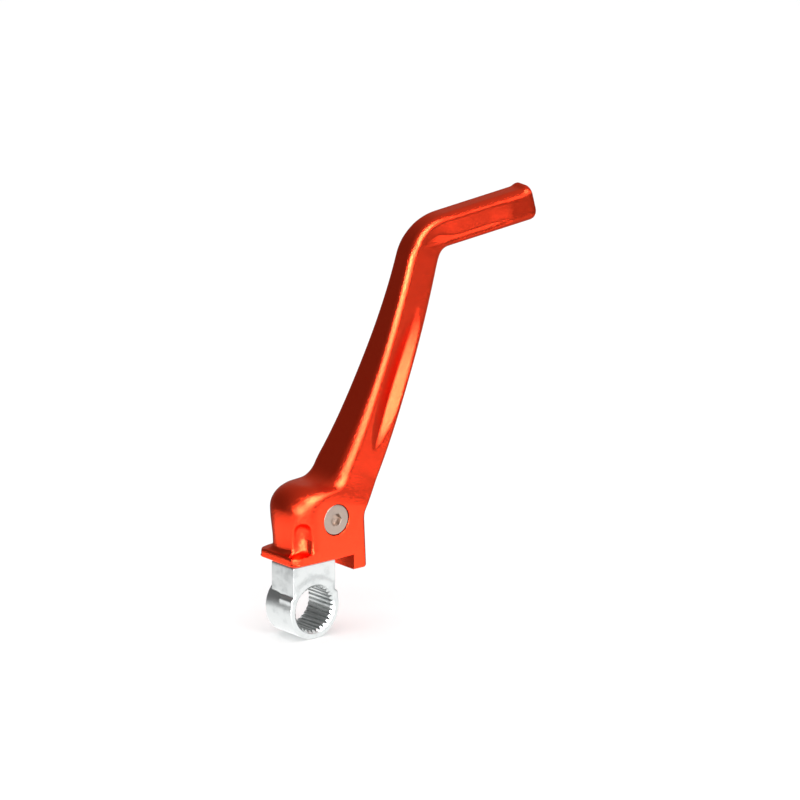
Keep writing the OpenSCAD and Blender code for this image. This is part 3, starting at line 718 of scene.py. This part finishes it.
front_hub = ring_r + hub_rim * np.sin(quarter * u), -hub_half + hub_rim * (1 - np.cos(quarter * u))
front_block = piecewise(
    u,
    (0.25, lambda t: mix(ring_r, block_r, t), lambda t: mix(-hub_half, -shank_front, ease(t))),
    (0.55, lambda t: mix(block_r, outline - block_edge, t), lambda t: -shank_front + 0 * t),
    (
        1.0,
        lambda t: outline - block_edge * (1 - np.sin(quarter * t)),
        lambda t: -shank_front + block_edge * (1 - np.cos(quarter * t)),
    ),
)
back_hub = hub_r + 0 * u, mix(-hub_half + hub_rim, hub_half - hub_rim, u)
back_block = piecewise(
    u,
    (0.2, lambda t: outline + 0 * t, lambda t: mix(block_edge - shank_front, shank_back - block_edge, t)),
    (
        0.45,
        lambda t: outline - block_edge * (1 - np.cos(quarter * t)),
        lambda t: shank_back - block_edge * (1 - np.sin(quarter * t)),
    ),
    (0.7, lambda t: mix(outline - block_edge, block_r, t), lambda t: shank_back + 0 * t),
    (1.0, lambda t: mix(block_r, hub_r, t), lambda t: mix(shank_back, hub_half - hub_rim, ease(t))),
)
rim_t = np.linspace(0, quarter, 9)[None, 1:]
bore_t = np.linspace(0, 1, 12)[None, :]
mouth_r, chamfer_run = root_r + bore_chamfer, root_r + bore_chamfer - tip_r
teeth_r = tooth_curve(angle)
chamfer = mix(mouth_r, tip_r, bore_t)
flat = np.linspace(0, 1, 5)[None, 1:]
stations = [
    (np.maximum(teeth_r, chamfer[:, ::-1]), -hub_half + chamfer_run * (1 - bore_t)),
    (mix(mouth_r, ring_r, flat) + 0 * angle, -hub_half + 0 * flat),
    [mix(hub, block, blockness) for hub, block in zip(front_hub, front_block)],
    [mix(hub, block, blockness) for hub, block in zip(back_hub, back_block)],
    (ring_r + hub_rim * np.cos(rim_t) + 0 * angle, hub_half - hub_rim * (1 - np.sin(rim_t))),
    (mix(ring_r, mouth_r, flat) + 0 * angle, hub_half + 0 * flat),
    (np.maximum(teeth_r, chamfer), hub_half - chamfer_run * bore_t),
]
radius, depth = (
    np.concatenate([np.broadcast_to(pair[k], (AROUND, pair[k].shape[1])) for pair in stations], axis=1)
    for k in range(2)
)
lean_over = np.arctan2(np.sin(angle), np.abs(np.cos(angle)))
off_lean = (lean_over - math.radians(fuller_lean)) / math.radians(fuller_spread)
fuller = fuller_rise * np.exp(-(off_lean**2)) * (1 - ease((depth - fuller_from) / fuller_run))
radius = radius + fuller * ease((radius - ring_r) / fuller_edge)
shell = joined(radius * np.cos(angle), depth, radius * np.sin(angle))
knuckle = make_mesh(
    "knuckle_body", shell.reshape(-1, 3), grid_faces(AROUND, shell.shape[1], close_rows=True)
)

# %% [markdown]
# On top of the shank stands a flat land, and the pivot pin is turned on it with a groove for the
# screw and one for the seal ring. They are joined to the body, and the blind hole of the detent
# ball is drilled beside the pin.

# %% Land, pin and ball hole
land_inset, land_step, land_corner = 0.4, 1.3, 0.8
land_chamfer, land_root = 0.15, 1.0


def rounded_box(half_x, front, back, r, count):
    """Outline of a rectangle with round corners, seen from above."""
    t = np.linspace(0, quarter, count)
    right, left, far, near = half_x - r, -half_x + r, back - r, -front + r
    centres = [(right, far), (left, far), (left, near), (right, near)]
    return np.concatenate([
        joined(cx + r * np.cos(t + k * quarter), cy + r * np.sin(t + k * quarter))
        for k, (cx, cy) in enumerate(centres)
    ])


def land_row(z, pull):
    """One ring of the land at a height, drawn in by pull."""
    half_x, front = shank_half - land_step - pull, shank_front - land_step - pull
    row = rounded_box(half_x, front, shank_back - land_inset - pull, land_corner, 8)
    return np.concatenate([row, np.full((len(row), 1), z)], axis=1)


land_levels = [(shank_top - land_root, 0), (land_top - land_chamfer, 0), (land_top, land_chamfer)]
land_rows = np.concatenate([land_row(z, pull) for z, pull in land_levels])
ring = len(land_rows) // len(land_levels)
middle_points = np.array([[0, 0, land_levels[0][0]], [0, 0, land_top]])
land = make_mesh(
    "land",
    np.concatenate([land_rows, middle_points]),
    grid_faces(len(land_levels), ring)[:, ::-1],
    fan(len(land_rows), 0, ring, flipped=True),
    fan(len(land_rows) + 1, ring * (len(land_levels) - 1), ring),
)
seal_height, seal_half, seal_groove_r = 4.5, 0.88, 5.79
seal_z = land_top + seal_height
groove_r, groove_half, pin_chamfer = 6.4, 4.2, 1.0


def groove(z, half, r):
    """Profile rows of a square groove in the pin."""
    return (pin_r, z - half), (r, z - half), (r, z + half), (pin_r, z + half)


pin = turned(
    "pin",
    [
        (0, shank_top - spill),
        (pin_r, shank_top - spill),
        *groove(seal_z, seal_half, seal_groove_r),
        *groove(screw_z, groove_half, groove_r),
        (pin_r, pin_top - pin_chamfer),
        (pin_r - pin_chamfer, pin_top),
        (0, pin_top),
    ],
    FINE,
    upright_at(0, 0),
)
combine(knuckle, [land, pin], "UNION")
hole_r, hole_floor = 2.3, 13.65
ball_hole = drill("ball_hole", hole_r, hole_floor, land_top + spill, MEDIUM, upright_at(-ball_offset, 0))
combine(knuckle, [ball_hole], "DIFFERENCE")
shade(knuckle, 32)

# %% [markdown]
# ## The retaining screw
# A countersunk screw is turned from bar and its hex socket is pressed in. The same rings that are
# circles on the outside pass into a hexagon for the socket. Each row is a radius, a depth below the
# face and the share of hexagon, from the socket's floor out over the face and down to the point.

# %% Screw
hex_half, hex_depth, socket_tip, point_chamfer = 3.0, 3.0, 3.6, 0.8
screw_rows = np.array([
    (1.3, 3.35, 1), (hex_half - 0.05, hex_depth, 1), (hex_half, hex_depth - 0.1, 1), (hex_half, 0.3, 1),
    (hex_half + 0.12, 0.06, 1), (hex_half + 0.24, 0, 1), (hex_half + 0.7, 0, 0.5), (hex_half + 1.2, 0, 0),
    (4.9, 0, 0), (5.8, 0, 0), (6.8, 0, 0), (7.5, 0, 0), (7.7, 0.03, 0), (7.86, 0.12, 0), (7.96, 0.26, 0),
    (screw_head_r, screw_rim, 0), (screw_r, screw_rim + screw_head_r - screw_r, 0),
    (screw_r, screw_length - point_chamfer, 0), (screw_r - point_chamfer, screw_length, 0),
])
theta = np.linspace(0, 2 * np.pi, FINE, endpoint=False)
sixth = np.pi / 3
hexagon = 1 / np.cos(theta % sixth - sixth / 2)
ring_r_of = screw_rows[:, :1] * mix(1, hexagon[None, :], screw_rows[:, 2:])
east, north, face_y = ring_r_of * np.cos(theta), ring_r_of * np.sin(theta), screw_top + screw_rows[:, 1:2]
local = joined(*along_screw(east, north, face_y)).reshape(-1, 3)
poles = np.array([along_screw(0, 0, screw_top + depth) for depth in (socket_tip, screw_length)])
screw = make_mesh(
    "screw_body",
    np.concatenate([local, poles]),
    grid_faces(len(screw_rows), FINE),
    fan(len(local), 0, FINE),
    fan(len(local) + 1, (len(screw_rows) - 1) * FINE, FINE, flipped=True),
)
shade(screw, 25)

# %% [markdown]
# ## Finishes
# A material is written as sums and products, and a small class turns them into shader nodes. All
# patterns come from the object's own coordinates, so a finish looks the same wherever it is used.

# %% Tools for materials
class Value:
    """A shader socket that can be added, subtracted, multiplied and divided like a number."""

    def __init__(self, finish, socket):
        self.finish, self.socket = finish, socket

    def _join(self, operation, a, b):
        return self.finish.node("ShaderNodeMath", {"operation": operation}, {0: a, 1: b})

    def __add__(self, other):
        return self._join("ADD", self, other)

    def __sub__(self, other):
        return self._join("SUBTRACT", self, other)

    def __rsub__(self, other):
        return self._join("SUBTRACT", other, self)

    def __mul__(self, other):
        return self._join("MULTIPLY", self, other)

    def __truediv__(self, other):
        return self._join("DIVIDE", self, other)

    def power(self, other):
        return self._join("POWER", self, other)

    def band(self, low, high):
        """0 below low, 1 above high, and a soft rise between them."""
        settings = {"interpolation_type": "SMOOTHSTEP"}
        return self.finish.node("ShaderNodeMapRange", settings, {0: self, 1: low, 2: high})

    __radd__, __rmul__ = __add__, __mul__


class Finish:
    """A material with a Principled shader, filled in by name."""

    def __init__(self, name):
        self.material = bpy.data.materials.new(name)
        self.material.use_nodes = True
        self.tree = self.material.node_tree
        self.shader = self.tree.nodes["Principled BSDF"]
        self.place = self.node("ShaderNodeTexCoord", {}, {}, "Object")

    def node(self, kind, settings, inputs, output=0):
        """One output of a new node, with its settings made and its inputs filled in."""
        made = self.tree.nodes.new(kind)
        for name, setting in settings.items():
            setattr(made, name, setting)
        for key, given in inputs.items():
            self.fill(made.inputs[key], given)
        return Value(self, made.outputs[output])

    def fill(self, socket, given):
        """Links a shader value to the socket, or sets a plain number or colour on it."""
        if isinstance(given, Value):
            self.tree.links.new(given.socket, socket)
        else:
            socket.default_value = given

    def noise(self, scale, detail=2.0, rough=0.5):
        """Cloudy noise from 0 to 1, with scale patches to the metre."""
        inputs = {"Vector": self.place, "Scale": scale, "Detail": detail, "Roughness": rough}
        return self.node("ShaderNodeTexNoise", {}, inputs, "Fac")

    def blend(self, share, one, other):
        """Colour between one and other by a share."""
        inputs = {0: share, 6: one, 7: other}
        return self.node("ShaderNodeMix", {"data_type": "RGBA"}, inputs, 2)

    def bump(self, height, distance, strength=1.0):
        """Normal of a surface that rises by distance, in metres, where height is 1."""
        inputs = {"Height": height, "Distance": distance, "Strength": strength}
        return self.node("ShaderNodeBump", {}, inputs, "Normal")

    def axis(self, letter):
        """The place along X, Y or Z, in metres."""
        return self.node("ShaderNodeSeparateXYZ", {}, {0: self.place}, letter)

    def set(self, **inputs):
        """Fills inputs of the Principled shader by name, and gives the material back."""
        for name, given in inputs.items():
            self.fill(self.shader.inputs[name.replace("_", " ")], given)
        return self.material

    def cover(self, thing):
        """Puts the finish on the whole of a thing."""
        thing.data.materials.clear()
        thing.data.materials.append(self.material)
        print(thing.name, "has the finish", self.material.name, "of", len(self.tree.nodes), "nodes")


# %% [markdown]
# Anodising keeps the metal's shine and dyes the thin oxide on it. The blasted surface underneath
# breaks reflections into fine bright and dark specks, so a grain of about two thirds of a millimetre
# moves the tone, the roughness and the slope of the surface.

# %% Anodised orange
orange = Finish("anodised_orange")
grain = orange.noise(1500, 2, 0.6)
cloud = orange.noise(90, 3, 0.5)
speck = grain.band(0.42, 0.66)
tone = orange.blend(speck, (0.96, 0.052, 0.017, 1), (1.0, 0.067, 0.023, 1))
orange.set(
    Base_Color=tone,
    Metallic=1.0,
    Roughness=0.165 + 0.03 * cloud + 0.05 * speck,
    Specular_Tint=(1.0, 0.7, 0.6, 1),
    Normal=orange.bump(grain, 0.00026, 0.7),
)
orange.cover(lever)

# %% [markdown]
# Zinc plating over a forged and machined knuckle is pale grey and slightly blue, with duller patches
# where the plating is thin.

# %% Zinc plated steel
zinc = Finish("zinc_plate")
patches = zinc.noise(120, 4, 0.6).band(0.46, 0.72)
fine = zinc.noise(900, 3, 0.6)
zinc.set(
    Base_Color=zinc.blend(patches, (0.50, 0.515, 0.512, 1), (0.40, 0.417, 0.417, 1)),
    Metallic=1.0,
    Roughness=0.3 + 0.14 * patches + 0.06 * fine,
    Normal=zinc.bump(zinc.noise(260, 4, 0.6) + 0.3 * fine, 0.00022, 0.6),
)
zinc.cover(knuckle)

# %% [markdown]
# The screw's face is turned, and the fine rings left by the tool spread highlights outwards.

# %% Turned stainless steel
steel = Finish("turned_stainless")
RINGS = 14000.0
east, north = steel.axis("X") - screw_x * MM, steel.axis("Z") - screw_z * MM
from_centre = (east * east + north * north).power(0.5)
rings_wave = steel.node("ShaderNodeMath", {"operation": "SINE"}, {0: from_centre * RINGS})
steel.set(
    Base_Color=steel.blend(steel.noise(700, 2), (0.36, 0.285, 0.24, 1), (0.31, 0.25, 0.215, 1)),
    Metallic=1.0,
    Roughness=0.3 + 0.08 * steel.noise(1200, 2),
    Normal=steel.bump(rings_wave, 0.00003, 0.35),
)
steel.cover(screw)

# %% [markdown]
# Ball, spring and seal ring sit inside, and show only when the lever is taken off. They keep the
# frame's own shapes: polished bearing steel, drawn spring wire and black rubber.

# %% Ball, spring and seal
bearing = Finish("bearing_steel")
bearing.set(Base_Color=(0.62, 0.63, 0.65, 1), Metallic=1.0, Roughness=0.1 + 0.06 * bearing.noise(800, 2))
wire = Finish("spring_wire")
wire.set(Base_Color=(0.35, 0.36, 0.38, 1), Metallic=1.0, Roughness=0.28 + 0.12 * wire.noise(1500, 2))
rubber = Finish("black_rubber")
rubber.set(
    Base_Color=(0.02, 0.02, 0.022, 1),
    Roughness=0.55 + 0.15 * rubber.noise(900, 3),
    Normal=rubber.bump(rubber.noise(1400, 3), 0.00005, 0.4),
)
for node, finish, slot in (
    ("detent_ball", bearing, "ball"),
    ("detent_spring", wire, "spring"),
    ("seal_ring", rubber, "seal"),
):
    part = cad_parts[node]
    finish.cover(part)
    part.data.polygons.foreach_set("use_smooth", np.full(len(part.data.polygons), node != "seal_ring"))

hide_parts("lever")
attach(lever, "lever")
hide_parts("knuckle")
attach(knuckle, "knuckle")
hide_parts("retaining_screw")
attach(screw, "lever")

# %% [markdown]
# ## The studio
# The photograph is taken from far away with a long lens, so the camera has no perspective. It looks
# 38.5 degrees round from the front and 17 degrees down.

# %% Camera
back = Vector((-0.5953, -0.7484, 0.2924)).normalized()
right = Vector((0.7826, -0.6225, 0.0)).normalized()
up = back.cross(right)
view_width, aside, above, far = 0.4128, 0.05052, 0.10557, 1.6
camera = add_object("camera", bpy.data.cameras.new("camera"))
camera.data.type = "ORTHO"
camera.data.ortho_scale = view_width
camera.data.clip_end = 20
face_along(camera, right * aside + up * above + back * far, back)
bpy.context.scene.camera = camera
print("camera stands at", [round(v, 3) for v in camera.location])

# %% [markdown]
# A polished part shows what stands round it. The camera sees plain pale paper, and mirror images
# see a studio of their own: a table top, a room, cards and softboxes. First come the tools for them.

# %% Tools for the studio
FLOOR_Z = -hub_r * MM
AIM = Vector((0.03, 0, 0.09))


def plane(name, centre, normal, width, height, material):
    """A flat card that faces along normal, width wide and height high, in metres."""
    normal = Vector(normal).normalized()
    sideways = Vector((0, 0, 1)).cross(normal)
    sideways = sideways.normalized() if sideways.length > 0.01 else Vector((1, 0, 0))
    upward = normal.cross(sideways)
    centre = Vector(centre)
    signs = ((-1, -1), (1, -1), (1, 1), (-1, 1))
    corners = [centre + sideways * (a * width / 2) + upward * (b * height / 2) for a, b in signs]
    mesh = bpy.data.meshes.new(name)
    mesh.from_pydata([tuple(p) for p in corners], [], [(0, 1, 2, 3)])
    mesh.materials.append(material)
    card = add_object(name, mesh)
    return card


BLACK, WHITE = (0, 0, 0, 1), (1, 1, 1, 1)


def glow(finish, colour, level):
    """Makes a finish show a light of its own, whatever light falls on it."""
    return finish.set(
        Base_Color=BLACK, Roughness=1.0, Specular_IOR_Level=0.0,
        Emission_Color=colour, Emission_Strength=level,
    )


def along_axis(finish, x, y):
    """Distance along a level direction, in metres, as a shader value."""
    return x * finish.axis("X") + y * finish.axis("Y")


def only_reflected(thing):
    """Leaves a stage object out of everything but mirror images."""
    thing.visible_camera = False
    thing.visible_diffuse = False
    thing.visible_shadow = False
    thing.visible_transmission = False


def softbox(name, direction, distance, width, height, power):
    """An area light that faces the middle of the object."""
    direction = Vector(direction).normalized()
    lamp = add_object(name, bpy.data.lights.new(name, "AREA"))
    lamp.data.shape = "RECTANGLE"
    lamp.data.size, lamp.data.size_y = width, height
    lamp.data.energy = power
    face_along(lamp, AIM + direction * distance, direction)
    return lamp


def toward(azimuth, elevation):
    """Direction at an azimuth in degrees from the front towards the left, and an elevation."""
    a, e = math.radians(azimuth), math.radians(elevation)
    return Vector((-math.sin(a) * math.cos(e), -math.cos(a) * math.cos(e), math.sin(e)))


# %% [markdown]
# The floor is white paper. The table top lies just over it and is a disc that glows: white in a strip
# that runs forward under the front faces and in a small disc round the object, and grey elsewhere.

# %% Floor and table top
paper = Finish("paper")
paper.set(Base_Color=(0.9, 0.9, 0.9, 1), Roughness=0.9)
plane("floor", (0, 0, FLOOR_Z), (0, 0, 1), 12, 12, paper.material)

room_r, lift = 2.6, 0.0002
# each pair says where a soft edge begins and where it ends, in metres
strip_near, strip_far, strip_left, strip_right = (0.0, 0.05), (0.49, 0.62), (-0.09, -0.05), (0.04, 0.08)
disc_edge, ahead, fading = (0.15, 0.20), (0.0, 0.2), (0.5, 0.75)
dim_level, ahead_level, white_level = 0.22, 0.30, 1.45
spokes = np.linspace(0, 2 * np.pi, 97)[:-1]


def hoop(r, z):
    """A ring of points round the Z axis, in millimetres, from a radius and a height in metres."""
    return joined(r * np.cos(spokes), r * np.sin(spokes), z) / MM


table_rows = [hoop(r, FLOOR_Z + lift) for r in (0.0001, 0.5, room_r)]
table = make_mesh("table", np.concatenate(table_rows), grid_faces(3, len(spokes)))
table_finish = Finish("table")
forward = along_axis(table_finish, 0.656, -0.755)
rightward = along_axis(table_finish, 0.755, 0.656)
from_middle = table_finish.node(
    "ShaderNodeVectorMath", {"operation": "LENGTH"}, {0: table_finish.place}, "Value"
)
not_right = 1 - rightward.band(*strip_right)
white_strip = (
    forward.band(*strip_near) * (1 - forward.band(*strip_far)) * rightward.band(*strip_left) * not_right
)
white_disc = (1 - from_middle.band(*disc_edge)) * not_right
white_share = 1 - (1 - white_strip) * (1 - white_disc)
grey_ahead = ahead_level * forward.band(*ahead) * (1 - from_middle.band(*fading))
table_level = dim_level + grey_ahead + white_level * white_share
# a level may be above 1, so its share of the strength is mixed between black and white
strength = 2.0
glow(table_finish, table_finish.blend(table_level / strength, BLACK, WHITE), strength)
table_finish.cover(table)
only_reflected(table)

# %% [markdown]
# The room is a hemisphere over the table top, darker at the back left and lighter at the front right.

# %% Room
dark, light, dark_to_light = (0.165, 0.165, 0.165, 1), (0.52, 0.52, 0.52, 1), (-0.9, 0.4)
height_t = np.linspace(0, np.pi / 2, 13)[:-1]
dome_rows = [hoop(room_r * np.cos(t), FLOOR_Z + room_r * np.sin(t)) for t in height_t]
dome_points = np.concatenate([*dome_rows, [[0, 0, (FLOOR_Z + room_r) / MM]]])
cap = fan(len(dome_points) - 1, (len(height_t) - 1) * len(spokes), len(spokes), flipped=True)
room = make_mesh("room", dome_points, grid_faces(len(height_t), len(spokes)), cap)
room_finish = Finish("room")
front_right = (along_axis(room_finish, 0.7071, -0.7071) / room_r).band(*dark_to_light)
glow(room_finish, room_finish.blend(front_right, dark, light), 1.0)
room_finish.cover(room)
only_reflected(room)


# %% [markdown]
# One softbox draws the bright line along the arm's edge, one lights the flank of the flute and one
# the dome. A card on the right and a low dark one in front are seen only in mirror images. A large
# soft light from above lights the paper and the shadow, and no mirror image shows it.

# %% Lights and cards
BOX_REACH = 0.9
for name, azimuth, elevation, width, height, power in (
    ("edge_light", 40, 6, 0.38, 0.285, 16.0),
    ("flute_light", 11, 6, 0.416, 0.35, 3.2),
    ("dome_light", 0, 37, 0.35, 0.62, 13.6),
):
    box = softbox(name, toward(azimuth, elevation), BOX_REACH, width, height, power)
    box.visible_diffuse = False
    print(name, "stands at", [round(v, 2) for v in box.location])
for name, azimuth, elevation, reach, start_z, width, height, level in (
    ("right_card", -48, 20, 0.9, 0.09, 0.45, 0.285, 2.3),
    ("flag", 30, 0, 0.3, 0.105, 0.40, 0.06, 0.3),
):
    facing = toward(azimuth, elevation)
    centre = facing * reach + Vector((0, 0, start_z))
    only_reflected(plane(name, centre, -facing, width, height, glow(Finish(name), WHITE, level)))
sky = softbox("top_light", (-0.1, -0.1, 1.0), 2.2, 5.0, 5.0, 64.0)
sky.visible_glossy = False

# %% [markdown]
# The background is white for the camera, mirror images and glass, and lights the rest a bit less.

# %% Background
SOFT_LEVEL, SEEN_LEVEL = 0.72, 1.0
world = bpy.data.worlds.new("studio")
bpy.context.scene.world = world
world.use_nodes = True
tree = world.node_tree
ground = tree.nodes["Background"]
rays = tree.nodes.new("ShaderNodeLightPath")
seen = rays.outputs["Is Camera Ray"]
for ray in ("Is Glossy Ray", "Is Transmission Ray"):
    total = tree.nodes.new("ShaderNodeMath")
    total.operation = "MAXIMUM"
    tree.links.new(seen, total.inputs[0])
    tree.links.new(rays.outputs[ray], total.inputs[1])
    seen = total.outputs[0]
level_node = tree.nodes.new("ShaderNodeMapRange")
level_node.inputs["To Min"].default_value = SOFT_LEVEL
level_node.inputs["To Max"].default_value = SEEN_LEVEL
tree.links.new(seen, level_node.inputs["Value"])
ground.inputs["Color"].default_value = (1, 1, 1, 1)
tree.links.new(level_node.outputs[0], ground.inputs["Strength"])
bpy.context.scene.view_settings.view_transform = "Standard"
print("background levels:", SOFT_LEVEL, SEEN_LEVEL)
